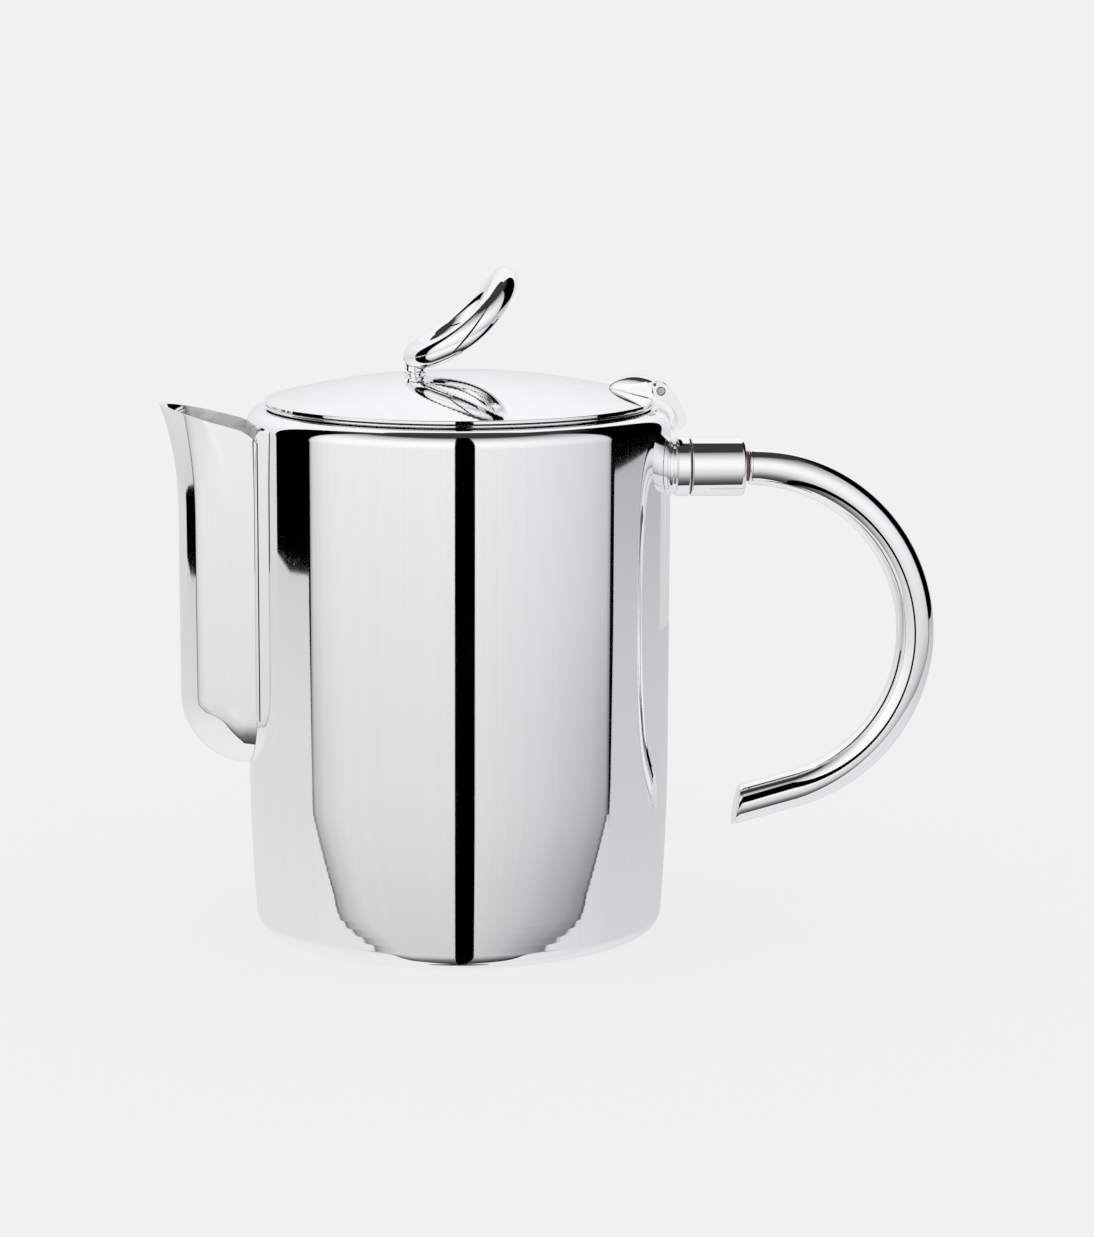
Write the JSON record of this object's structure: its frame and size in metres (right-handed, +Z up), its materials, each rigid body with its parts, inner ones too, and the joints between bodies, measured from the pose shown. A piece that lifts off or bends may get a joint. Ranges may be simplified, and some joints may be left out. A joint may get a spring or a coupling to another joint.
{
  "type": "coffee pot",
  "caption": "Straight-sided polished silver coffee pot with a hinged domed lid, a tilted ring finial, a tall trough spout and an insulated C-shaped tube handle",
  "frame": {"origin": "centre of the flat base, on the surface the pot stands on", "axes": "+Z up along the body's axis, +X towards the handle, -X towards the spout, +Y across the pot along the hinge pin"},
  "size_m": [0.2028, 0.11, 0.1726],
  "materials": {
    "silver_body": "mirror-polished silver plate with faint polishing marks",
    "silver_spout": "mirror-polished silver plate, slightly softer on the flat sides",
    "silver_lid": "mirror-polished silver plate",
    "silver_finial": "mirror-polished cast silver",
    "silver_handle": "mirror-polished silver-plated tube",
    "silver_fittings": "mirror-polished turned and cast fittings",
    "pin_steel": "satin steel pin end",
    "hidden_steel": "plain turned steel",
    "insulator": "pinkish-brown nylon washer"
  },
  "bodies": {
    "pot": {"body_shell": "silver_body", "mouth_ring": "silver_body", "spout_shell": "silver_spout", "hinge_bracket": "silver_fittings", "hinge_pin": "pin_steel", "handle_socket": "silver_fittings", "inner_insulator": "insulator", "handle_ferrule": "silver_fittings", "outer_insulator": "insulator", "handle_stud": "hidden_steel", "tube_plug": "hidden_steel", "handle_tube": "silver_handle", "handle_end_cap": "silver_handle"},
    "lid": {"lid_cover": "silver_lid", "lid_rim_band": "silver_lid", "lid_bezel": "silver_lid", "hinge_leaf": "silver_fittings", "finial_ring": "silver_finial", "finial_stem": "silver_finial", "finial_washer": "hidden_steel", "finial_nut": "hidden_steel"}
  },
  "joints": [
    {"name": "lid_hinge", "type": "hinge", "parent": "pot", "child": "lid", "pos_m": [0.0521, 0, 0.1408], "axis": [0, 1, 0], "range_deg": [0, 100]}
  ]
}
